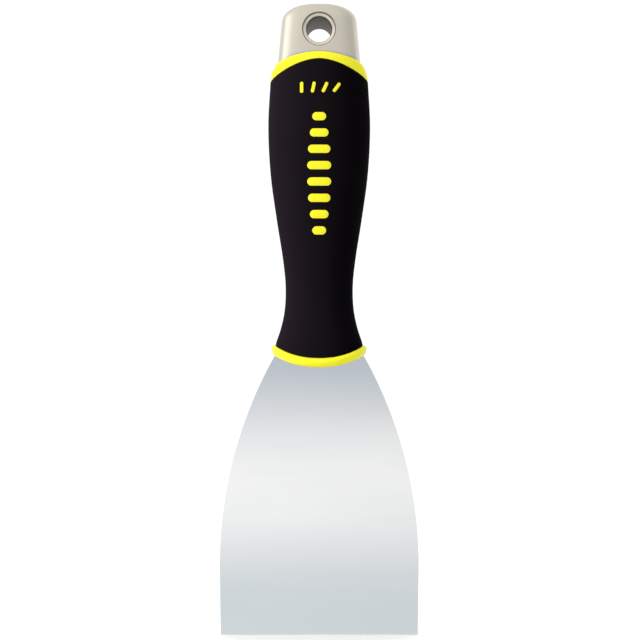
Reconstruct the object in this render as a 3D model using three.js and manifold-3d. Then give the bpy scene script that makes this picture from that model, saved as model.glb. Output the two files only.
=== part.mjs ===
// Flexible putty knife: a thin spring-steel blade with a full tang, a hard core moulded round the tang,
// a soft grip over the core, and a metal hammer cap held on by the eyelet of the hang hole.
// Millimetres. +Z runs up the handle, X across the blade, and the front of the tool faces -Y.
// The origin is the centre of the hang hole.
import * as THREE from "three";
import { mergeVertices } from "three/addons/utils/BufferGeometryUtils.js";
import Module from "manifold-3d";

const wasm = await Module();
wasm.setup();

// Driving dimensions
const gap = 0.3; // clearance between pieces that touch on the real tool
const segments = 40; // facets round the handle
const holeSegments = 32;

const edgeWidth = 76.2; // the nominal 3 inch working edge
const edgeZ = -231.6;
const widestHalf = 38.5;
const widestZ = -205;
const flankRadius = 165; // each flank is one long arc, parallel to the axis at its widest
const shoulderZ = -123.6; // where the flanks end, just inside the bolster
const flexZ = -158; // line about which the blade bends, a third of the way down it
const flexGap = 0.6;
const tangTopZ = 7.2;
const tangHalfWidth = 7.5;
const tangThickness = 1.2;
const edgeThickness = 0.5;
const lockHoleRadius = 3.2;
const lockHoleHeights = [-45, -88];

const capTopZ = 10;
const crownHeight = 5.2; // the crown's corner is a quarter ellipse, wide across but short from front to back
const crownWidth = 8.6;
const crownDepth = 2.5;
const capWall = 2.4;
const capCeiling = 2.2;
const shoulderWidth = 3; // the cavity and the post in it narrow under the crown
const shoulderDrop = 4.3;
const capPower = 3.4; // section squareness: 2 is an ellipse
const gripPower = 2.3;
const gripWall = 2.5;
const beadProud = 1.3; // how far the bolster stands out past the grip

const throatRadius = 4.85;
const throatRound = 0.45; // where the bore rolls into the lip
const eyeletTubeRadius = 5.35;
const eyeletLipRadius = 6.1;
const eyeletLipY = 11.05; // the lip sits a little below the cap's face
const lipDish = 0.3;
const flareStartY = 10; // the tube widens into its lip within the cap's wall
const flareEndY = 10.6;

// Half width and half depth of the handle by height, from the foot up to the shoulder under the cap.
const handleOutline = outline([
  [-130, 16.9, 12.2],
  [-120, 16.9, 12.2],
  [-114, 15, 11.4],
  [-107, 13.45, 10.5],
  [-97, 13.0, 10.2],
  [-87, 14.0, 11.0],
  [-72, 16.35, 12.7],
  [-54, 18.8, 14.2],
  [-35, 19.7, 14.9],
  [-19, 18.9, 14.3],
  [-8, 18.3, 13.8],
]);

const capOutline = outline([
  [-14, 16.1, 12.7],
  [-7, 15.5, 12.45],
  [0, 14.85, 12.2],
  [6, 14.3, 11.9],
  [10, 14.1, 11.7],
]);

// The edges that cross the handle are arches: height at the middle, fall at the sides, half width, curve.
const capEdge = arch(-8.6, 3.6, 16, 1.7);
const gripTopEdge = arch(-11.5, 7.3, 18.9, 1.7);
const gripFootEdge = arch(-124.5, -4.4, 17, 2.2);
const bolsterFootEdge = arch(-128, -4.2, 17, 2.2);

// A curve through [height, half width, half depth] points.
function outline(points) {
  const heights = new Float32Array(points.map(([z]) => z));
  const sizes = new Float32Array(points.flatMap(([, width, depth]) => [width, depth]));
  const curve = new THREE.CubicInterpolant(heights, sizes, 2, new Float32Array(2));
  return (z) => {
    const [width, depth] = curve.evaluate(z);
    return { width, depth };
  };
}

function arch(middleZ, fall, halfWidth, power) {
  return (x) => middleZ - fall * (Math.abs(x) / halfWidth) ** power;
}

const level = (z) => () => z;
const raised = (edge, by) => (x) => edge(x) + by;

function between(low, high, share) {
  return (x) => THREE.MathUtils.lerp(low(x), high(x), share);
}

// The part-way section between two outlines, and an outline moved inwards all round.
function mixed(a, b, share) {
  return (z) => ({
    width: THREE.MathUtils.lerp(a(z).width, b(z).width, share),
    depth: THREE.MathUtils.lerp(a(z).depth, b(z).depth, share),
  });
}

function inset(shape, by, depthBy = by) {
  return (z) => ({ width: shape(z).width - by, depth: shape(z).depth - depthBy });
}

const axis = () => ({ width: 0, depth: 0 });

function row(shape, height, power = gripPower) {
  return { shape, height, power };
}

// Stacks rounded-square sections: each ring of a lathe takes the size, squareness and height of its row.
function loft(rows) {
  const profile = rows.map((each, index) => new THREE.Vector2(each.shape === axis ? 0 : 1, index));
  const geometry = new THREE.LatheGeometry(profile, segments);
  const position = geometry.getAttribute("position");
  for (let i = 0; i < position.count; i += 1) {
    const { shape, height, power } = rows[Math.round(position.getY(i))];
    const angle = Math.atan2(-position.getZ(i), position.getX(i));
    const across = Math.cos(angle);
    const deep = Math.sin(angle);
    const square = (Math.abs(across) ** power + Math.abs(deep) ** power) ** (-1 / power);
    const nearX = shape(height(0)).width * across * square;
    const z = height(nearX);
    const { width, depth } = shape(z);
    position.setXYZ(i, width * across * square, depth * deep * square, z);
  }
  return solid(geometry);
}

// A closed geometry as a manifold-3d solid.
function solid(geometry) {
  geometry.deleteAttribute("normal");
  geometry.deleteAttribute("uv");
  const merged = mergeVertices(geometry, 1e-3);
  return new wasm.Manifold(
    new wasm.Mesh({
      numProp: 3,
      vertProperties: merged.attributes.position.array,
      triVerts: new Uint32Array(merged.index.array),
    }),
  );
}

// A round solid about the Y axis from [radius, y] points, at a height on the tool's centre line.
function turned(points, z = 0) {
  const profile = points.map(([radius, y]) => new THREE.Vector2(radius, y));
  return solid(new THREE.LatheGeometry(profile, holeSegments).translate(0, 0, z));
}

function rod(radius, halfLength, z = 0) {
  return turned(
    [
      [0, -halfLength],
      [radius, -halfLength],
      [radius, halfLength],
      [0, halfLength],
    ],
    z,
  );
}

function mesh(name, shape, color, roughness, metalness) {
  const { numProp, vertProperties, triVerts } = shape.getMesh();
  const geometry = new THREE.BufferGeometry();
  geometry.setAttribute("position", new THREE.BufferAttribute(vertProperties, numProp));
  geometry.setIndex(new THREE.BufferAttribute(triVerts, 1));
  geometry.computeVertexNormals();
  const made = new THREE.Mesh(geometry, new THREE.MeshStandardMaterial({ color, roughness, metalness }));
  made.name = name;
  return made;
}

// Heights from one end to the other in equal steps of about the length given.
function steps(from, to, length) {
  const count = Math.ceil(Math.abs(to - from) / length);
  return Array.from({ length: count + 1 }, (_, i) => THREE.MathUtils.lerp(from, to, i / count));
}

// The blade's outline, up the right side from the working edge to the tang's top, and mirrored down the left.
function bladeOutline(grow) {
  const shape = new THREE.Shape();
  const half = edgeWidth / 2;
  const centreX = widestHalf - flankRadius;
  const endAngle = Math.asin((shoulderZ - widestZ) / flankRadius);
  const radius = flankRadius + grow;
  const right = new THREE.EllipseCurve(centreX, widestZ, radius, radius, 0, endAngle).getPoints(14);
  const inner = [
    new THREE.Vector2(14.2, -122.6),
    new THREE.Vector2(12.4, -120.2),
    new THREE.Vector2(tangHalfWidth + 0.8, -117.5),
    new THREE.Vector2(tangHalfWidth, -114),
    new THREE.Vector2(tangHalfWidth, tangTopZ - 2),
    new THREE.Vector2(tangHalfWidth - 2, tangTopZ),
  ].map((p) => new THREE.Vector2(p.x + grow, p.y + grow));
  const side = [new THREE.Vector2(half, edgeZ), ...right, ...inner];
  const other = side.map((p) => new THREE.Vector2(-p.x, p.y)).reverse();
  shape.setFromPoints([...side, ...other]);
  return shape;
}

// The blade as one stamping, ground to a straight taper from the tang to the edge.
// Grown by the clearance, the same shape cuts its slot in the core.
function bladeBlank(grow = 0) {
  const geometry = new THREE.ExtrudeGeometry(bladeOutline(grow), { depth: 2, bevelEnabled: false });
  geometry.translate(0, 0, -1).rotateX(Math.PI / 2);
  const position = geometry.getAttribute("position");
  for (let i = 0; i < position.count; i += 1) {
    const share = (tangTopZ - position.getZ(i)) / (tangTopZ - edgeZ);
    const thickness = THREE.MathUtils.lerp(tangThickness, edgeThickness, share);
    position.setY(i, Math.sign(position.getY(i)) * (thickness / 2 + grow));
  }
  return solid(geometry);
}

function slab(low, high) {
  const box = new THREE.BoxGeometry(100, 60, high - low);
  return solid(box.translate(0, 0, (low + high) / 2));
}

function bladeTang() {
  const holes = lockHoleHeights.map((z) => rod(lockHoleRadius, 5, z));
  const eyeletHole = rod(eyeletTubeRadius + gap, 5);
  return holes
    .reduce((left, hole) => left.subtract(hole), bladeBlank())
    .subtract(eyeletHole)
    .intersect(slab(flexZ + flexGap / 2, 20));
}

function blade() {
  return bladeBlank().intersect(slab(edgeZ - 1, flexZ - flexGap / 2));
}

// Bolster, stem under the grip, shoulder band and the post inside the cap, in one moulding.
function handleCore() {
  const stem = inset(handleOutline, gripWall + gap);
  const post = inset(capOutline, capWall + gap);
  const rows = [row(axis, bolsterFootEdge), row(inset(handleOutline, 3), bolsterFootEdge)];
  for (let turn = -90; turn <= 90; turn += 22.5) {
    const angle = THREE.MathUtils.degToRad(turn);
    const bead = inset(handleOutline, -beadProud * Math.cos(angle));
    rows.push(row(bead, between(bolsterFootEdge, gripFootEdge, (1 + Math.sin(angle)) / 2)));
  }
  rows.push(row(stem, gripFootEdge));
  steps(-115, -22, 7).forEach((z) => rows.push(row(stem, level(z))));
  rows.push(row(stem, gripTopEdge));
  for (let turn = 90; turn >= 0; turn -= 22.5) {
    const angle = THREE.MathUtils.degToRad(turn);
    const share = 1 - Math.cos(angle); // of the way from the cap's edge down to the grip's
    const power = THREE.MathUtils.lerp(capPower, gripPower, share);
    rows.push(
      row(mixed(capOutline, handleOutline, Math.sin(angle)), between(capEdge, gripTopEdge, share), power),
    );
  }
  rows.push(row(post, capEdge, capPower));
  const postTop = capTopZ - capCeiling - gap;
  steps(-5, postTop - shoulderDrop, 4).forEach((z) => rows.push(row(post, level(z), capPower)));
  rows.push(row(inset(post, shoulderWidth), level(postTop), capPower), row(axis, level(postTop)));

  const plugs = lockHoleHeights.map((z) => rod(lockHoleRadius - gap, 4, z));
  const slot = plugs.reduce((left, plug) => left.subtract(plug), bladeBlank(gap));
  return loft(rows).subtract(slot).subtract(rod(eyeletTubeRadius + gap, 30));
}

function softGrip() {
  const lining = inset(handleOutline, gripWall);
  const foot = raised(gripFootEdge, gap);
  const top = raised(gripTopEdge, -gap);
  const heights = steps(-115, -22, 5);
  const inner = heights.map((z) => row(lining, level(z))).reverse();
  const outer = heights.map((z) => row(handleOutline, level(z)));
  const start = row(lining, top);
  const inside = [start, ...inner, row(lining, foot)];
  const outside = [row(handleOutline, foot), ...outer, row(handleOutline, top)];
  return loft([...inside, ...outside, start]);
}

// The hole through a shell of the cap: a clearance bore that opens into a seat for the eyelet's lip.
function eyeletSeat() {
  return turned([
    [0, -30],
    [eyeletLipRadius + gap, -30],
    [eyeletLipRadius + gap, -flareEndY],
    [eyeletTubeRadius + gap, -flareStartY],
    [eyeletTubeRadius + gap, flareStartY],
    [eyeletLipRadius + gap, flareEndY],
    [eyeletLipRadius + gap, 30],
    [0, 30],
  ]);
}

// A cup, upside down over the post, with a thick flat end for setting nail heads.
function hammerCap() {
  const cavity = inset(capOutline, capWall);
  const ceiling = capTopZ - capCeiling;
  const foot = raised(capEdge, gap);
  const rows = [row(axis, level(ceiling)), row(inset(cavity, shoulderWidth), level(ceiling), capPower)];
  steps(ceiling - shoulderDrop, -5, 5).forEach((z) => rows.push(row(cavity, level(z), capPower)));
  rows.push(row(cavity, foot, capPower), row(capOutline, foot, capPower));
  steps(-5, capTopZ - crownHeight, 4).forEach((z) => rows.push(row(capOutline, level(z), capPower)));
  [20, 40, 55, 70, 90].forEach((turn) => {
    const angle = THREE.MathUtils.degToRad(turn);
    const drawnIn = 1 - Math.cos(angle);
    const crown = inset(capOutline, crownWidth * drawnIn, crownDepth * drawnIn);
    rows.push(row(crown, level(capTopZ - crownHeight * (1 - Math.sin(angle))), capPower));
  });
  rows.push(row(axis, level(capTopZ), capPower));
  return loft(rows).subtract(eyeletSeat());
}

// A tube through cap, core and tang, rolled over into a dished lip at both faces.
function hangEyelet() {
  const innerFace = eyeletLipY - lipDish;
  const mouth = [0, 30, 60, 90].map((turn) => {
    const angle = THREE.MathUtils.degToRad(turn);
    return [
      throatRadius + throatRound * (1 - Math.cos(angle)),
      innerFace - throatRound * (1 - Math.sin(angle)),
    ];
  });
  const outside = [
    [eyeletLipRadius - 0.15, eyeletLipY],
    [eyeletLipRadius, eyeletLipY - 0.15],
    [eyeletLipRadius, flareEndY],
    [eyeletTubeRadius, flareStartY],
  ];
  const front = [...mouth, ...outside];
  const back = front.map(([radius, y]) => [radius, -y]).reverse();
  return turned([...front, ...back, front[0]].reverse());
}

const knife = new THREE.Group();
const handle = new THREE.Group();
handle.add(
  mesh("handle_core", handleCore(), 0xf8f43a, 0.35, 0),
  mesh("soft_grip", softGrip(), 0x1a161a, 0.75, 0),
  mesh("hammer_cap", hammerCap(), 0xc8c1b2, 0.3, 1),
  mesh("hang_eyelet", hangEyelet(), 0xd8d2c4, 0.22, 1),
);
knife.add(
  handle,
  mesh("blade_tang", bladeTang(), 0xc9d0d6, 0.28, 1),
  mesh("blade", blade(), 0xd3dade, 0.25, 1),
);

export default knife;
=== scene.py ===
# Flexible putty knife, front facing -Y, origin at the centre of the hang hole.
# The dictionaries hold millimetres, degrees and watts; meshes are made in millimetres and scaled to metres.
from math import atan2, cos, pi, radians, sin, sqrt

import bmesh
import bpy
from mathutils import Matrix, Vector


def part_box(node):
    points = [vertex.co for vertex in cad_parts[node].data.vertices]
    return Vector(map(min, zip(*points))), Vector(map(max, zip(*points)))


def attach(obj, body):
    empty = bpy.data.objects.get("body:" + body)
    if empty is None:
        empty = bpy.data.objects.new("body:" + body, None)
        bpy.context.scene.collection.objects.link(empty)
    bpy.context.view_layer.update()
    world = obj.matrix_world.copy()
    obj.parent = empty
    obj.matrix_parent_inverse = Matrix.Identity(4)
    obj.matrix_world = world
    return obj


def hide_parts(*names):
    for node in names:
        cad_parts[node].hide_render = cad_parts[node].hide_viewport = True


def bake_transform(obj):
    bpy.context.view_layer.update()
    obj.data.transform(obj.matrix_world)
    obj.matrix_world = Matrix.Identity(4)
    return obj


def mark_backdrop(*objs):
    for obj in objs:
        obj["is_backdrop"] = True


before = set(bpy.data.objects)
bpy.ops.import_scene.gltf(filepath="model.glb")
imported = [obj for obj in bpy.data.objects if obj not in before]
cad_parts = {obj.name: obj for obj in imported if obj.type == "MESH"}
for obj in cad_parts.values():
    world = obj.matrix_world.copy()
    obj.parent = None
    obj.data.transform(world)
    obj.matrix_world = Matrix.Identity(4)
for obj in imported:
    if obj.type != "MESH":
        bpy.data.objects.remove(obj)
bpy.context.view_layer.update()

scene = bpy.context.scene
mm = 0.001
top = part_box("hammer_cap")[1].z / mm
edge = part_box("blade")[0].z / mm
front = -1  # the side of Y that the front face is on
weld = 0.002  # points closer than this are one
noiseSpread = (0.3, 0.7)  # most of a noise pattern's values fall between these
print("frame: %.1f mm from edge to cap" % (top - edge))


def mix(a, b, share):
    return a + (b - a) * share


def steps(start, end, length):
    count = max(1, round(abs(end - start) / length))
    return [mix(start, end, i / count) for i in range(count + 1)]


def curveThrough(stations):
    # smooth width and depth by height; the slope at a station is the mean of those on its two sides
    rises = [[(b[k] - a[k]) / (b[0] - a[0]) for k in (1, 2)] for a, b in zip(stations, stations[1:])]
    sides = zip([rises[0]] + rises, rises + [rises[-1]])
    slopes = [[(below[k] + above[k]) / 2 for k in (0, 1)] for below, above in sides]

    def at(z):
        z = min(max(z, stations[0][0]), stations[-1][0])
        i = max(k for k in range(len(stations) - 1) if stations[k][0] <= z)
        a, b = stations[i], stations[i + 1]
        span = b[0] - a[0]
        t = (z - a[0]) / span
        return tuple(
            (2 * t**3 - 3 * t**2 + 1) * a[k + 1]
            + (t**3 - 2 * t**2 + t) * span * slopes[i][k]
            + (3 * t**2 - 2 * t**3) * b[k + 1]
            + (t**3 - t**2) * span * slopes[i + 1][k]
            for k in (0, 1)
        )

    return at


def arch(middle, fall, half, power):
    return lambda x: middle - fall * (abs(x) / half) ** power


def flat(z):
    return lambda x: z


def raised(line, by):
    return lambda x: line(x) + by


def inset(shape, by):
    return lambda z: (shape(z)[0] - by, shape(z)[1] - by)


def scaled(shape, share):
    return lambda z: (shape(z)[0] * share, shape(z)[1] * share)


def sectionPoint(shape, angle, height, power):
    # where a rounded-square section meets a direction round the handle
    across, deep = cos(angle), sin(angle)
    square = (abs(across) ** power + abs(deep) ** power) ** (-1 / power)
    z = height(shape(height(0))[0] * across * square)
    width, depth = shape(z)
    return Vector((width * across * square, depth * deep * square, z))


def faceDepth(shape, x, z, power):  # how far the surface stands from the middle plane
    width, depth = shape(z)
    return depth * max(0.0, 1 - (abs(x) / width) ** power) ** (1 / power)


def newEdges(out):
    return [e for e in out["geom"] if isinstance(e, bmesh.types.BMEdge) and e.is_boundary]


def newVerts(out):
    return [v for v in out["geom"] if isinstance(v, bmesh.types.BMVert)]


def loft(rows, segments, closeStart=True, closeEnd=True):  # one ring of edges, drawn up through the rows
    bm = bmesh.new()
    turn = bm.verts.layers.float.new("turn")
    bmesh.ops.create_circle(bm, cap_ends=False, radius=1, segments=segments)
    for v in bm.verts:
        v[turn] = atan2(v.co.y, v.co.x)
    ring, verts = list(bm.edges), list(bm.verts)
    firstRing = ring
    for index, (shape, height, power) in enumerate(rows):
        if index:
            out = bmesh.ops.extrude_edge_only(bm, edges=ring)
            ring, verts = newEdges(out), newVerts(out)
        for v in verts:
            v.co = sectionPoint(shape, v[turn], height, power)
    if closeStart:
        bmesh.ops.contextual_create(bm, geom=firstRing)
    if closeEnd:
        bmesh.ops.contextual_create(bm, geom=ring)
    return bm


def cutRound(bm, radius, centre, halfWidth, halfHeight, place, isThere):
    # opens a round hole in a grid of faces: a patch of them goes, and its border is bridged to a circle
    slack = 0.01

    def inPatch(v):
        near = abs(v.co.x) < halfWidth + slack and abs(v.co.z - centre) < halfHeight + slack
        return near and isThere(v)

    patch = [f for f in bm.faces if all(inPatch(v) for v in f.verts)]
    border = [e for f in patch for e in f.edges if sum(g in patch for g in e.link_faces) == 1]
    bmesh.ops.delete(bm, geom=patch, context="FACES")
    border = [e for e in border if e.is_valid]
    lie = Matrix.Translation((0, 0, centre)) @ Matrix.Rotation(pi / 2, 4, "X")
    made = bmesh.ops.create_circle(bm, cap_ends=False, radius=radius, segments=len(border), matrix=lie)
    circle = list(dict.fromkeys(e for v in made["verts"] for e in v.link_edges))
    for v in made["verts"]:
        v.co = place(v.co)
    bridged = bmesh.ops.bridge_loops(bm, edges=border + circle)
    spokes = [e for e in bridged["edges"] if len(e.link_faces) == 2]
    cut = bmesh.ops.subdivide_edges(bm, edges=spokes, cuts=1, use_grid_fill=True)
    for v in [g for g in cut["geom_inner"] if isinstance(g, bmesh.types.BMVert)]:
        v.co = place(v.co)
    return [e for e in circle if e.is_valid]


def finishPiece(bm, name, body=None, modifiers=(), sharpAngle=40):
    # metres, outward normals, then its modifiers applied, so that the mesh holds what is shown
    bmesh.ops.remove_doubles(bm, verts=bm.verts, dist=weld)
    bmesh.ops.recalc_face_normals(bm, faces=bm.faces)
    bmesh.ops.scale(bm, vec=(mm, mm, mm), verts=bm.verts)
    mesh = bpy.data.meshes.new(name)
    bm.to_mesh(mesh)
    bm.free()
    mesh.shade_smooth()
    piece = bpy.data.objects.new(name, mesh)
    scene.collection.objects.link(piece)
    for kind, settings in modifiers:
        modifier = piece.modifiers.new(kind.title(), kind)
        for key, value in settings.items():
            setattr(modifier, key, value)
    if modifiers:
        graph = bpy.context.evaluated_depsgraph_get()
        applied = bpy.data.meshes.new_from_object(piece.evaluated_get(graph), depsgraph=graph)
        piece.modifiers.clear()
        piece.data = applied
        applied.name = name
    piece.data.shade_smooth()
    piece.data.set_sharp_from_angle(angle=radians(sharpAngle))
    if body:
        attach(piece, body)
    print("piece: %s, %d faces" % (name, len(piece.data.polygons)))
    return piece


def smoothed(levels=1):
    return ("SUBSURF", {"levels": levels, "render_levels": levels})


def thickened(wall):
    return ("SOLIDIFY", {"thickness": wall * mm, "offset": -1, "use_even_offset": True})


def roundedEdges(width, segments=3, angle=40, limit="ANGLE"):
    return (
        "BEVEL",
        {
            "width": width * mm,
            "segments": segments,
            "profile": 0.5,
            "affect": "EDGES",
            "limit_method": limit,
            "angle_limit": radians(angle),
        },
    )


def linear(hexColor):
    parts = [int(hexColor[i : i + 2], 16) / 255 for i in (1, 3, 5)]
    return [p / 12.92 if p <= 0.04045 else ((p + 0.055) / 1.055) ** 2.4 for p in parts] + [1.0]


def addNode(tree, kind, inputs, **settings):
    node = tree.nodes.new(kind)
    for key, value in settings.items():
        setattr(node, key, value)
    for key, value in inputs.items():
        socket = node.inputs[key] if isinstance(key, int) else next(
            each for each in node.inputs if each.name == key and each.enabled
        )
        if isinstance(value, bpy.types.NodeSocket):
            tree.links.new(value, socket)
        else:
            socket.default_value = value
    return node


def startMaterial(name):
    material = bpy.data.materials.new(name)
    material.use_nodes = True
    tree = material.node_tree
    tree.nodes.clear()
    place = addNode(tree, "ShaderNodeTexCoord", {}).outputs["Object"]
    return material, tree, place


def closeMaterial(material, tree, inputs):
    shader = addNode(tree, "ShaderNodeBsdfPrincipled", inputs)
    addNode(tree, "ShaderNodeOutputMaterial", {"Surface": shader.outputs["BSDF"]})
    return material


def perMm(size):  # noise scale whose grains are about this many millimetres, on coordinates in metres
    return 1 / (size * mm)


def satinNickel():
    # satin nickel plate on a bead-blasted zinc casting: a soft warm grey sheen with no sharp reflection
    look = {"color": "#cfc9bb", "roughness": (0.25, 0.33), "grain": 0.35, "cloud": 9, "bump": (0.07, 0.02)}
    material, tree, place = startMaterial("satinNickelPlate")
    grain = addNode(
        tree,
        "ShaderNodeTexNoise",
        {"Vector": place, "Scale": perMm(look["grain"]), "Detail": 3.0},
    )
    cloud = addNode(
        tree,
        "ShaderNodeTexNoise",
        {"Vector": place, "Scale": perMm(look["cloud"]), "Detail": 2.0},
    )
    rough = addNode(
        tree,
        "ShaderNodeMapRange",
        {"Value": cloud.outputs["Fac"], "From Min": noiseSpread[0], "From Max": noiseSpread[1]}
        | {"To Min": look["roughness"][0], "To Max": look["roughness"][1]},
    )
    bump = addNode(
        tree,
        "ShaderNodeBump",
        {"Height": grain.outputs["Fac"], "Strength": look["bump"][0], "Distance": look["bump"][1] * mm},
    )
    return closeMaterial(
        material,
        tree,
        {"Base Color": linear(look["color"]), "Metallic": 1.0}
        | {"Roughness": rough.outputs["Result"], "Normal": bump.outputs["Normal"]},
    )


def eyeletNickel():
    # nickel plate on a rolled steel tube: bright lips, and a dark bore that is painted shade, the colour
    # darkened inside the tube where it shades itself
    look = {
        "lip": "#d9d2c3",
        "bore": "#4c4034",
        "roughness": (0.22, 0.5),
        "boreShadeEnds": (10.3, 10.7),
        "ring": 0.25,
        "bump": (0.15, 0.02),
    }
    material, tree, place = startMaterial("nickelPlatedSteelTube")
    parts = addNode(tree, "ShaderNodeSeparateXYZ", {"Vector": place})
    out = addNode(tree, "ShaderNodeMath", {0: parts.outputs["Y"]}, operation="ABSOLUTE")
    # painted shade: the share of the lip colour falls to the dark bore colour further in from the faces
    unshadedShare = addNode(
        tree,
        "ShaderNodeMapRange",
        {"Value": out.outputs["Value"]}
        | {"From Min": look["boreShadeEnds"][0] * mm, "From Max": look["boreShadeEnds"][1] * mm},
    ).outputs["Result"]
    # painted shade: darker colour down the bore, away from the lips
    color = addNode(
        tree,
        "ShaderNodeMix",
        {"Factor": unshadedShare, "A": linear(look["bore"]), "B": linear(look["lip"])},
        data_type="RGBA",
    )
    rough = addNode(
        tree,
        "ShaderNodeMapRange",
        {"Value": unshadedShare, "To Min": look["roughness"][1], "To Max": look["roughness"][0]},
    )
    ring = addNode(tree, "ShaderNodeMapping", {"Vector": place, "Scale": (0.0, 1.0, 0.0)})
    marks = addNode(
        tree,
        "ShaderNodeTexNoise",
        {"Vector": ring.outputs["Vector"], "Scale": perMm(look["ring"]), "Detail": 2.0},
    )
    bump = addNode(
        tree,
        "ShaderNodeBump",
        {"Height": marks.outputs["Fac"], "Strength": look["bump"][0], "Distance": look["bump"][1] * mm},
    )
    return closeMaterial(
        material,
        tree,
        {"Base Color": color.outputs[2], "Metallic": 1.0, "Roughness": rough.outputs["Result"]}
        | {"Normal": bump.outputs["Normal"]},
    )


def springSteel():
    # hardened stainless strip, belt ground across its width and buffed: a soft mirror with hair-fine lines
    look = {
        "color": "#e1e1e1",
        "roughness": (0.1, 0.14),
        "line": (26.0, 0.22),  # across and down the blade; real lines are finer than would show
        "smear": (60.0, 14.0),
        "spread": (0.12, 0.4),  # of the two patterns multiplied
        "bump": (0.05, 0.01),
    }
    material, tree, place = startMaterial("groundStainlessSpringSteel")
    lines = addNode(
        tree,
        "ShaderNodeMapping",
        {"Vector": place, "Scale": (perMm(look["line"][0]), 1.0, perMm(look["line"][1]))},
    )
    streak = addNode(
        tree,
        "ShaderNodeTexNoise",
        {"Vector": lines.outputs["Vector"], "Scale": 1.0, "Detail": 4.0},
    )
    smears = addNode(
        tree,
        "ShaderNodeMapping",
        {"Vector": place, "Scale": (perMm(look["smear"][0]), 1.0, perMm(look["smear"][1]))},
    )
    smear = addNode(
        tree,
        "ShaderNodeTexNoise",
        {"Vector": smears.outputs["Vector"], "Scale": 1.0, "Detail": 2.0},
    )
    both = addNode(
        tree,
        "ShaderNodeMath",
        {0: streak.outputs["Fac"], 1: smear.outputs["Fac"]},
        operation="MULTIPLY",
    )
    rough = addNode(
        tree,
        "ShaderNodeMapRange",
        {"Value": both.outputs["Value"], "From Min": look["spread"][0], "From Max": look["spread"][1]}
        | {"To Min": look["roughness"][0], "To Max": look["roughness"][1]},
    )
    bump = addNode(
        tree,
        "ShaderNodeBump",
        {"Height": streak.outputs["Fac"], "Strength": look["bump"][0], "Distance": look["bump"][1] * mm},
    )
    return closeMaterial(
        material,
        tree,
        {"Base Color": linear(look["color"]), "Metallic": 1.0}
        | {"Roughness": rough.outputs["Result"], "Normal": bump.outputs["Normal"]},
    )


def neonPolypropylene():
    # fluorescent yellow polypropylene, injection moulded: waxy gloss, and a painted glow, a little emission
    # that stands in for its fluorescent dye and shines whether lit or not
    look = {
        "color": "#dad41c",
        "paintedGlow": "#f6f200",
        "paintedGlowStrength": 0.05,
        "roughness": 0.32,
        "index": 1.49,
        "specular": 0.3,
        "ripple": 2.4,
        "bump": (0.15, 0.05),
    }
    material, tree, place = startMaterial("fluorescentPolypropylene")
    ripple = addNode(
        tree,
        "ShaderNodeTexNoise",
        {"Vector": place, "Scale": perMm(look["ripple"]), "Detail": 2.0},
    )
    bump = addNode(
        tree,
        "ShaderNodeBump",
        {"Height": ripple.outputs["Fac"], "Strength": look["bump"][0], "Distance": look["bump"][1] * mm},
    )
    return closeMaterial(
        material,
        tree,
        {"Base Color": linear(look["color"]), "Roughness": look["roughness"]}
        | {"IOR": look["index"], "Specular IOR Level": look["specular"]}
        # painted glow: the emission adds light of its own to the yellow
        | {"Emission Color": linear(look["paintedGlow"]), "Emission Strength": look["paintedGlowStrength"]}
        | {"Normal": bump.outputs["Normal"]},
    )


def gripRubber():
    # black thermoplastic rubber moulded on a spark-eroded tool: fine matt grain, a faint broad sheen
    look = {
        "color": "#070507",
        "roughness": (0.7, 0.8),
        "index": 1.45,
        "specular": 0.015,
        "grain": 0.4,
        "cloud": 14,
        "bump": (0.25, 0.03),
    }
    material, tree, place = startMaterial("blackThermoplasticRubber")
    grain = addNode(
        tree,
        "ShaderNodeTexNoise",
        {"Vector": place, "Scale": perMm(look["grain"]), "Detail": 3.0},
    )
    cloud = addNode(
        tree,
        "ShaderNodeTexNoise",
        {"Vector": place, "Scale": perMm(look["cloud"]), "Detail": 2.0},
    )
    rough = addNode(
        tree,
        "ShaderNodeMapRange",
        {"Value": cloud.outputs["Fac"], "From Min": noiseSpread[0], "From Max": noiseSpread[1]}
        | {"To Min": look["roughness"][0], "To Max": look["roughness"][1]},
    )
    bump = addNode(
        tree,
        "ShaderNodeBump",
        {"Height": grain.outputs["Fac"], "Strength": look["bump"][0], "Distance": look["bump"][1] * mm},
    )
    return closeMaterial(
        material,
        tree,
        {"Base Color": linear(look["color"]), "IOR": look["index"], "Specular IOR Level": look["specular"]}
        | {"Roughness": rough.outputs["Result"], "Normal": bump.outputs["Normal"]},
    )


finishes = {
    "cap_metal": satinNickel(),
    "eyelet_metal": eyeletNickel(),
    "blade_steel": springSteel(),
    "core_plastic": neonPolypropylene(),
    "grip_rubber": gripRubber(),
}
print("materials: %d" % len(finishes))


def dress(piece, slotName, *nodes):
    piece.data.materials.clear()
    piece.data.materials.append(finishes[slotName])
    if nodes:
        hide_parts(*nodes)
    return piece


# outlines shared by the pieces of the handle: height, half width, half depth
handleShape = curveThrough(
    [
        (-130, 16.9, 12.2),
        (-120, 16.9, 12.2),
        (-114, 15, 11.4),
        (-107, 13.45, 10.5),
        (-97, 13.0, 10.2),
        (-87, 14.0, 11.0),
        (-72, 16.35, 12.7),
        (-54, 18.8, 14.2),
        (-35, 19.7, 14.9),
        (-19, 18.9, 14.3),
        (-8, 18.3, 13.8),
    ]
)
capSides = curveThrough(
    [(-14, 16.1, 12.7), (-7, 15.5, 12.45), (0, 14.85, 12.2), (6, 14.3, 11.9), (10, 14.1, 11.7)]
)
squareness = {"cap": 3.4, "grip": 2.3}
lines = {
    "capFoot": arch(-8.6, 3.6, 16, 1.7),
    "gripTop": arch(-11.5, 7.3, 18.9, 1.7),
    "gripFoot": arch(-124.5, -4.4, 17, 2.2),
    "bolsterFoot": arch(-128, -4.2, 17, 2.2),
}


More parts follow.
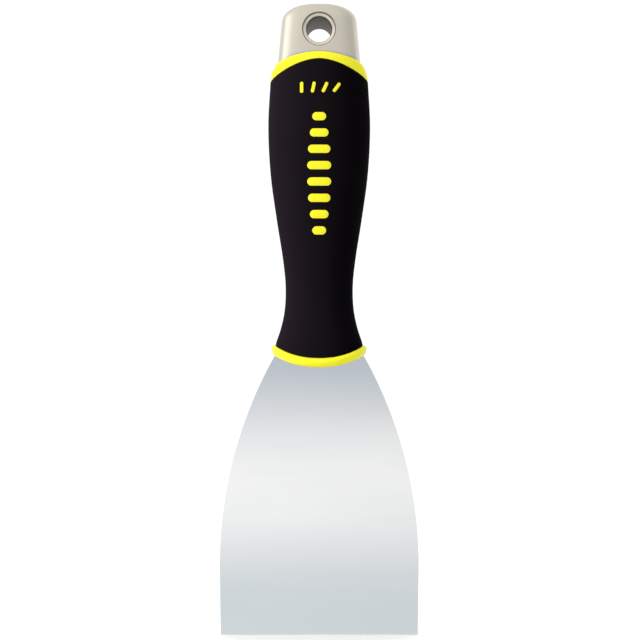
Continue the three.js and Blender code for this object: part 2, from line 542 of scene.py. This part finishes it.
def makeCap():
    cap = {
        "crown": {"height": 5.2, "width": 8.6, "depth": 2.5, "turns": (40, 91, 5)},
        "topShares": (0.8, 0.55, 0.25),
        "wall": 2.4,
        "seatRadius": 6.45,
        "seatPatch": (8.2, 7.4),
        "seatRound": 0.55,
        "footGap": 0.06,
        "edgeRound": 0.3,
        "rowStep": 0.925,
        "segments": 96,
    }
    crown = cap["crown"]
    crownStart = top - crown["height"]

    def shape(z):
        width, depth = capSides(z)
        rise = min(max((z - crownStart) / crown["height"], 0), 1)
        drawnIn = 1 - sqrt(1 - rise * rise)
        return width - crown["width"] * drawnIn, depth - crown["depth"] * drawnIn

    half = cap["seatPatch"][1]
    power = squareness["cap"]
    heights = steps(-half, half, cap["rowStep"])
    for turn in range(*crown["turns"]):  # rows round the crown, above the patch that the seat is cut in
        heights.append(crownStart + crown["height"] * sin(radians(turn)))
    rows = [(shape, raised(lines["capFoot"], cap["footGap"]), power)]
    rows += [(shape, flat(z), power) for z in heights]
    rows += [(scaled(shape, share), flat(top), power) for share in cap["topShares"]]
    bm = loft(rows, cap["segments"], closeStart=False)
    weight = bm.edges.layers.float.new("bevel_weight_edge")
    for side in (front, -front):

        def onFace(co):
            return Vector((co.x, side * faceDepth(shape, co.x, co.z, power), co.z))

        rim = cutRound(bm, cap["seatRadius"], 0, *cap["seatPatch"], onFace, lambda v: v.co.y * side > 0)
        for e in rim:
            e[weight] = 1
    seatEdge = roundedEdges(cap["seatRound"], segments=5, limit="WEIGHT")
    finish = [smoothed(), thickened(cap["wall"]), seatEdge, roundedEdges(cap["edgeRound"])]
    piece = finishPiece(bm, "hammerCap", "handle", finish)
    return dress(piece, "cap_metal", "hammer_cap")


def makeEyelet():
    eyelet = {
        "throatRadius": 4.85,
        "innerRound": 0.45,
        "lipRadius": 6.1,
        "lipY": 11.05,
        "lipDish": 0.3,
        "outerRound": 0.2,
        "flange": {"radius": 6.35, "y": (10.6, 10.45), "step": 0.15},
        "flareStart": 10,
        "tubeRadius": 5.35,
        "tubeRows": (9, 6, 3, 0),
        "throatStep": 2,
        "segments": 128,
    }
    bm = bmesh.new()
    inner, outer = eyelet["innerRound"], eyelet["outerRound"]
    innerFace = eyelet["lipY"] - eyelet["lipDish"]
    profile = [(eyelet["throatRadius"], y) for y in steps(0, innerFace - inner, eyelet["throatStep"])]
    for turn in range(15, 91, 15):  # round into the dished face of the lip
        angle = radians(turn)
        profile.append(
            (eyelet["throatRadius"] + inner * (1 - cos(angle)), innerFace - inner * (1 - sin(angle)))
        )
    for turn in range(90, -1, -18):  # and over its rim
        angle = radians(turn)
        profile.append(
            (eyelet["lipRadius"] - outer * (1 - cos(angle)), eyelet["lipY"] - outer * (1 - sin(angle)))
        )
    flange = eyelet["flange"]
    profile += [(eyelet["lipRadius"], flange["y"][0] + flange["step"])]
    profile += [(flange["radius"], y) for y in flange["y"]]
    profile += [(eyelet["tubeRadius"], eyelet["flareStart"])]
    profile += [(eyelet["tubeRadius"], y) for y in eyelet["tubeRows"]]
    chain = [bm.verts.new((r, -y, 0)) for r, y in profile]
    for a, b in zip(chain, chain[1:]):
        bm.edges.new((a, b))
    bmesh.ops.mirror(bm, geom=bm.verts[:] + bm.edges[:], axis="Y", merge_dist=0.01)
    bmesh.ops.spin(
        bm,
        geom=bm.verts[:] + bm.edges[:],
        cent=(0, 0, 0),
        axis=(0, 1, 0),
        angle=2 * pi,
        steps=eyelet["segments"],
        use_merge=True,
    )
    piece = finishPiece(bm, "hangEyelet", "handle", sharpAngle=50)
    return dress(piece, "eyelet_metal", "hang_eyelet")


def makeGrip():
    grip = {
        "wall": 2.5,
        "footGap": 0.1,
        "topGap": 0.15,
        "rowStep": 2,
        "flatTop": -22,
        "flatFoot": -116,
        "footShares": (0, 0.12, 0.3, 0.6),
        "topShares": (0.3, 0.6, 0.85, 1),
        "segments": 96,
        "edgeRound": 0.3,
    }
    power = squareness["grip"]
    foot = raised(lines["gripFoot"], grip["footGap"])
    upper = raised(lines["gripTop"], -grip["topGap"])
    heights = steps(grip["flatFoot"], grip["flatTop"], grip["rowStep"])

    def between(low, high, share):
        return lambda x: mix(low(x), high(x), share)

    rows = [(handleShape, between(foot, flat(heights[0]), share), power) for share in grip["footShares"]]
    rows += [(handleShape, flat(z), power) for z in heights]
    rows += [(handleShape, between(flat(heights[-1]), upper, share), power) for share in grip["topShares"]]
    bm = loft(rows, grip["segments"], closeStart=False, closeEnd=False)
    piece = finishPiece(
        bm, "softGrip", "handle", [smoothed(), thickened(grip["wall"]), roundedEdges(grip["edgeRound"])]
    )
    return dress(piece, "grip_rubber", "soft_grip")


def makeCore():
    core = {
        "footShares": (0.1, 0.3, 0.5, 0.7, 0.85, 0.95),
        "beadProud": 1.3,
        "beadTurn": 12,
        "gripWall": 2.8,
        "stem": (-115, -22),
        "stemStep": 6,
        "bandInset": 0.6,
        "bandTurn": 9,
        "postInset": 2.7,
        "postTop": 7.5,
        "topShares": (1, 0.7, 0.4, 0.15),
        "postShoulder": {"width": 3, "drop": 4.3},
        "boreRadius": 5.65,
        "borePatch": (7, 6.65),
        "rowStep": 0.95,
        "segments": 128,
        "edgeRound": 0.2,
    }
    power = squareness["grip"]
    bolsterFoot, gripFoot = lines["bolsterFoot"], lines["gripFoot"]
    gripTop, capFoot = lines["gripTop"], lines["capFoot"]
    stem = inset(handleShape, core["gripWall"])
    shoulder = core["postShoulder"]

    def post(z):
        taper = max(0, z - core["postTop"] + shoulder["drop"]) / shoulder["drop"]
        return inset(capSides, core["postInset"] + shoulder["width"] * taper)(z)

    rows = [(scaled(handleShape, share), bolsterFoot, power) for share in core["footShares"]]

    def beadRow(angle):
        share = (1 + sin(angle)) / 2
        return (
            inset(handleShape, -core["beadProud"] * cos(angle)),
            lambda x: mix(bolsterFoot(x), gripFoot(x), share),
            power,
        )

    def bandRow(angle):
        share = 1 - cos(angle)

        def shape(z):
            return tuple(mix(a, b, sin(angle)) for a, b in zip(capSides(z), handleShape(z)))

        return shape, lambda x: mix(capFoot(x), gripTop(x), share), mix(squareness["cap"], power, share)

    rows += [beadRow(radians(turn)) for turn in range(-90, 91, core["beadTurn"])]
    rows.append((stem, gripFoot, power))
    rows += [(stem, flat(z), power) for z in steps(*core["stem"], core["stemStep"])]
    rows.append((stem, gripTop, power))
    rows.append((inset(handleShape, core["bandInset"]), gripTop, power))
    rows += [bandRow(radians(turn)) for turn in range(90, -1, -core["bandTurn"])]
    rows.append((post, capFoot, squareness["cap"]))
    half = core["borePatch"][1]
    rows += [(post, flat(z), squareness["cap"]) for z in steps(-half, half, core["rowStep"])]
    rows += [(scaled(post, share), flat(core["postTop"]), squareness["cap"]) for share in core["topShares"]]
    bm = loft(rows, core["segments"])
    mouths = []
    for side in (front, -front):

        def onPost(co):
            return Vector((co.x, side * faceDepth(post, co.x, co.z, squareness["cap"]), co.z))

        radius, patch = core["boreRadius"], core["borePatch"]
        mouths += cutRound(bm, radius, 0, *patch, onPost, lambda v: v.co.y * side > 0)
    bmesh.ops.bridge_loops(bm, edges=mouths)
    piece = finishPiece(bm, "handleCore", "handle", [roundedEdges(core["edgeRound"], segments=3, angle=50)])
    return dress(piece, "core_plastic", "handle_core")


def makeBlade():
    blade = {
        "edgeWidth": 76.2,
        "widestHalf": 38.5,
        "widestHeight": -205,
        "flankRadius": 165,
        # height and half width where the blade draws in to the tang, then the rows that follow that curve
        "shoulder": [(-123.6, 17.02, 0), (-122.6, 14.2, 0), (-120.2, 12.4, 0), (-114, 7.5, 0)],
        "shoulderRows": [-123.1, -122.6, -121.4, -120.2, -118.6, -117, -115.5, -114],
        "tangTop": 7.2,
        "thickness": (0.5, 1.2),
        "eyeletHole": {"radius": 5.65, "patch": 6.4},
        "lockHoles": {"radius": 3.2, "heights": (-45, -88), "patch": 5},
        "columns": 40,
        "rowStep": 1.2,
        "tangStep": 2,
        "holeStep": 1.6,
        "edgeRound": 0.06,
        "bendStart": -129.0,
    }
    shoulder = curveThrough(blade["shoulder"])
    shoulderFoot, shoulderTop = blade["shoulder"][0][0], blade["shoulder"][-1][0]

    def halfWidth(z):
        if z > shoulderFoot:
            return shoulder(z)[0]
        if z < blade["widestHeight"]:
            share = (blade["widestHeight"] - z) / (blade["widestHeight"] - edge)
            return mix(blade["widestHalf"], blade["edgeWidth"] / 2, share)
        rise = z - blade["widestHeight"]
        return blade["widestHalf"] - blade["flankRadius"] + sqrt(blade["flankRadius"] ** 2 - rise**2)

    hole, locks = blade["eyeletHole"], blade["lockHoles"]
    heights = steps(edge, shoulderFoot, blade["rowStep"]) + blade["shoulderRows"]
    heights += steps(shoulderTop, -hole["patch"], blade["tangStep"])[1:]
    heights += steps(-hole["patch"], hole["patch"], blade["holeStep"])[1:] + [blade["tangTop"]]
    bm = bmesh.new()
    upright = Matrix.Rotation(pi / 2, 4, "X")
    rows = len(heights) - 1
    bmesh.ops.create_grid(bm, x_segments=blade["columns"], y_segments=rows, size=1, matrix=upright)

    def halfThickness(z):
        return mix(*blade["thickness"], (z - edge) / (blade["tangTop"] - edge)) / 2

    def onFace(co):
        return Vector((co.x, front * halfThickness(co.z), co.z))

    for v in bm.verts:
        z = heights[round((v.co.z + 1) / 2 * rows)]
        v.co = onFace(Vector((v.co.x * halfWidth(z), 0, z)))
    cutRound(bm, hole["radius"], 0, hole["patch"], hole["patch"], onFace, lambda v: True)
    for z in locks["heights"]:
        cutRound(bm, locks["radius"], z, locks["patch"], locks["patch"], onFace, lambda v: True)
    out = bmesh.ops.extrude_face_region(bm, geom=bm.faces[:], use_keep_orig=True)
    for v in newVerts(out):
        v.co.y = -v.co.y
    finish = [roundedEdges(blade["edgeRound"], segments=2, angle=60)]
    piece = finishPiece(bm, "springBlade", None, finish, sharpAngle=20)
    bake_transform(piece)
    return dress(piece, "blade_steel", "blade", "blade_tang")


def makeMarks():
    # plain bars moulded in the core's yellow: four that lean further and further, and a column that swells
    marks = {
        "leaning": {"height": -22.6, "pitch": 4.4, "long": 4.2, "thick": 1.25, "lean": (0, 12, 24, 36)},
        "column": {"first": -33.6, "pitch": 6.1, "thick": 3.1, "long": (5.2, 7, 8.4, 9, 9, 8.4, 7, 5.2)},
        "proud": 0.15,
        "sunk": 0.4,
        "segments": 32,
        "cutStep": 0.8,
        "edgeRound": 0.1,
    }
    power = squareness["grip"]
    leaning, column = marks["leaning"], marks["column"]
    bars = []  # x, z, length, thickness and turn from level
    for i, lean in enumerate(leaning["lean"]):
        x = (i - (len(leaning["lean"]) - 1) / 2) * leaning["pitch"]
        bars.append((x, leaning["height"], leaning["long"], leaning["thick"], 90 - lean))
    for i, long in enumerate(column["long"]):
        bars.append((0, column["first"] - i * column["pitch"], long, column["thick"], 0))
    segments = marks["segments"]
    halfStep = Matrix.Rotation(pi / (2 * segments), 4, "Z")
    whole = bmesh.new()
    for x, z, long, thick, turn in bars:
        bm = bmesh.new()
        bmesh.ops.create_circle(bm, cap_ends=True, radius=thick / 2, segments=segments, matrix=halfStep)
        for v in bm.verts:
            v.co.x += (long - thick) / 2 * (1 if v.co.x > 0 else -1)
        for cut in steps(-long / 2, long / 2, marks["cutStep"])[1:-1]:
            everything = bm.verts[:] + bm.edges[:] + bm.faces[:]
            bmesh.ops.bisect_plane(bm, geom=everything, plane_co=(cut, 0, 0), plane_no=(1, 0, 0))
        bmesh.ops.rotate(bm, verts=bm.verts, matrix=Matrix.Rotation(radians(turn), 3, "Z"))
        bmesh.ops.rotate(bm, verts=bm.verts, matrix=Matrix.Rotation(pi / 2, 3, "X"))
        bmesh.ops.translate(bm, verts=bm.verts, vec=(x, 0, z))
        for v in bm.verts:
            v.co.y = front * (faceDepth(handleShape, v.co.x, v.co.z, power) - marks["sunk"])
        out = bmesh.ops.extrude_face_region(bm, geom=bm.faces[:], use_keep_orig=True)
        bmesh.ops.translate(bm, verts=newVerts(out), vec=(0, front * (marks["sunk"] + marks["proud"]), 0))
        mesh = bpy.data.meshes.new("bar")
        bm.to_mesh(mesh)
        whole.from_mesh(mesh)
        bm.free()
        bpy.data.meshes.remove(mesh)
    finish = [roundedEdges(marks["edgeRound"], segments=2, angle=60)]
    piece = finishPiece(whole, "gripMarks", "handle", finish, sharpAngle=50)
    return dress(piece, "core_plastic")


made = [makeCap(), makeEyelet(), makeGrip(), makeCore(), makeBlade(), makeMarks()]


def makeFloor():
    floor = {"drop": 0.2, "half": 4000, "color": "#fbfbfb", "roughness": 0.9}
    bm = bmesh.new()
    place = Matrix.Translation((0, 0, edge - floor["drop"]))
    bmesh.ops.create_grid(bm, x_segments=2, y_segments=2, size=floor["half"], matrix=place)
    piece = finishPiece(bm, "studioFloor")
    material, tree, _ = startMaterial("paleStudioFloor")
    look = {"Base Color": linear(floor["color"]), "Roughness": floor["roughness"]}
    piece.data.materials.append(closeMaterial(material, tree, look))
    piece.visible_glossy = False
    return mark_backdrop(piece)


def makeWorld():
    # a pale studio: white behind, and in front a grey room with a soft bright band, lighter on the left
    room = {
        "brightest": 2,  # a colour ramp holds no more than 1, so its colours are shares of this
        "white": 1.05,
        "behind": (0.1, 0.5),  # the Y of a direction, from the room in front to the white behind
        "heights": [  # height of the direction, brightness, tint
            (-1.0, 0.3, "#ffffff"),
            (-0.7, 0.5, "#ffffff"),
            (-0.45, 0.74, "#f2f8fc"),
            (-0.27, 0.95, "#f0f9fd"),
            (-0.235, 0.92, "#edf8fd"),
            (-0.205, 0.865, "#f0fafe"),
            (-0.165, 1.14, "#ffffff"),
            (-0.13, 1.24, "#ffffff"),
            (-0.095, 1.13, "#ffffff"),
            (-0.069, 0.9, "#f6fafd"),
            (-0.047, 0.76, "#e9f3ff"),
            (0.0, 0.7, "#e8f2ff"),
            (0.25, 1.02, "#ffffff"),
            (1.0, 1.0, "#ffffff"),
        ],
        "sides": [  # the same, from left to right
            (-1.0, 2.0, "#ffffff"),
            (-0.75, 1.3, "#ffffff"),
            (-0.4, 1.1, "#ffffff"),
            (0.0, 1.0, "#ffffff"),
            (0.5, 0.86, "#ffffff"),
            (1.0, 0.7, "#ffffff"),
        ],
    }
    world = bpy.data.worlds.new("paleStudio")
    scene.world = world
    world.use_nodes = True
    tree = world.node_tree
    tree.nodes.clear()
    direction = addNode(tree, "ShaderNodeTexCoord", {}).outputs["Generated"]
    parts = addNode(tree, "ShaderNodeSeparateXYZ", {"Vector": direction})

    def ramp(value, stops):
        share = addNode(
            tree,
            "ShaderNodeMapRange",
            {"Value": value, "From Min": -1.0, "From Max": 1.0},
        )
        node = addNode(tree, "ShaderNodeValToRGB", {"Fac": share.outputs["Result"]})
        elements = node.color_ramp.elements
        elements.remove(elements[1])
        elements[0].position = 0
        for at, _, _ in stops[1:]:
            elements.new((at + 1) / 2)
        for element, (_, bright, color) in zip(elements, stops):
            element.color = [bright / room["brightest"] * part for part in linear(color)[:3]] + [1]
        node.color_ramp.interpolation = "CARDINAL"
        return node.outputs["Color"]

    light = addNode(
        tree,
        "ShaderNodeVectorMath",
        {0: ramp(parts.outputs["Z"], room["heights"]), 1: ramp(parts.outputs["X"], room["sides"])},
        operation="MULTIPLY",
    ).outputs["Vector"]
    brightness = room["brightest"] ** 2
    reflected = addNode(tree, "ShaderNodeBackground", {"Color": light, "Strength": brightness})
    white = addNode(
        tree,
        "ShaderNodeBackground",
        {"Color": linear("#ffffff"), "Strength": room["white"]},
    )
    behind = addNode(
        tree,
        "ShaderNodeMapRange",
        {"Value": parts.outputs["Y"], "From Min": room["behind"][0], "From Max": room["behind"][1]},
    )
    seen = addNode(tree, "ShaderNodeLightPath", {})
    share = addNode(
        tree,
        "ShaderNodeMath",
        {0: behind.outputs["Result"], 1: seen.outputs["Is Camera Ray"]},
        operation="MAXIMUM",
    )
    both = addNode(
        tree,
        "ShaderNodeMixShader",
        {0: share.outputs["Value"], 1: reflected.outputs["Background"], 2: white.outputs["Background"]},
    )
    addNode(tree, "ShaderNodeOutputWorld", {"Surface": both.outputs["Shader"]})


def makeLamps(pieces):
    # soft boxes, which metal doesn't show; a strong one lights the black grip alone, to bring out its form
    lamps = {
        "leftSoftBox": {"at": (-900, -330, 200), "size": (500, 900), "watts": 9, "lights": set(pieces)},
        "gripSoftBox": {"at": (-900, -330, 200), "size": (500, 900), "watts": 82, "lights": {"softGrip"}},
        "overhead": {"at": (0, -100, 1400), "size": (1600, 1600), "watts": 8, "lights": set()},
    }
    aim = Vector((0, 0, (top + edge) / 2)) * mm
    for name, lamp in lamps.items():
        light = bpy.data.lights.new(name, "AREA")
        light.shape = "RECTANGLE"
        light.size, light.size_y = (side * mm for side in lamp["size"])
        light.energy = lamp["watts"]
        holder = bpy.data.objects.new(name, light)
        holder.location = Vector(lamp["at"]) * mm
        holder.rotation_euler = (aim - holder.location).to_track_quat("-Z", "Y").to_euler()
        holder.visible_glossy = False
        if lamp["lights"]:
            lit = bpy.data.collections.new(name)
            for pieceName in sorted(lamp["lights"]):
                lit.objects.link(pieces[pieceName])
            holder.light_linking.receiver_collection = lit
        scene.collection.objects.link(holder)


def makeCamera():
    camera = {"distance": 492, "height": -110.1, "side": 0.3, "lens": 71.5, "sensor": 36, "near": 10}
    data = bpy.data.cameras.new("studioCamera")
    data.lens, data.sensor_width = camera["lens"], camera["sensor"]
    data.clip_start = camera["near"] * mm
    holder = bpy.data.objects.new("studioCamera", data)
    holder.location = Vector((camera["side"], -camera["distance"], camera["height"])) * mm
    holder.rotation_euler = (pi / 2, 0, 0)
    scene.collection.objects.link(holder)
    scene.camera = holder


makeFloor()
makeWorld()
makeLamps({piece.name: piece for piece in made})
makeCamera()
scene.view_settings.view_transform = "Standard"
print("stage, light and camera set")
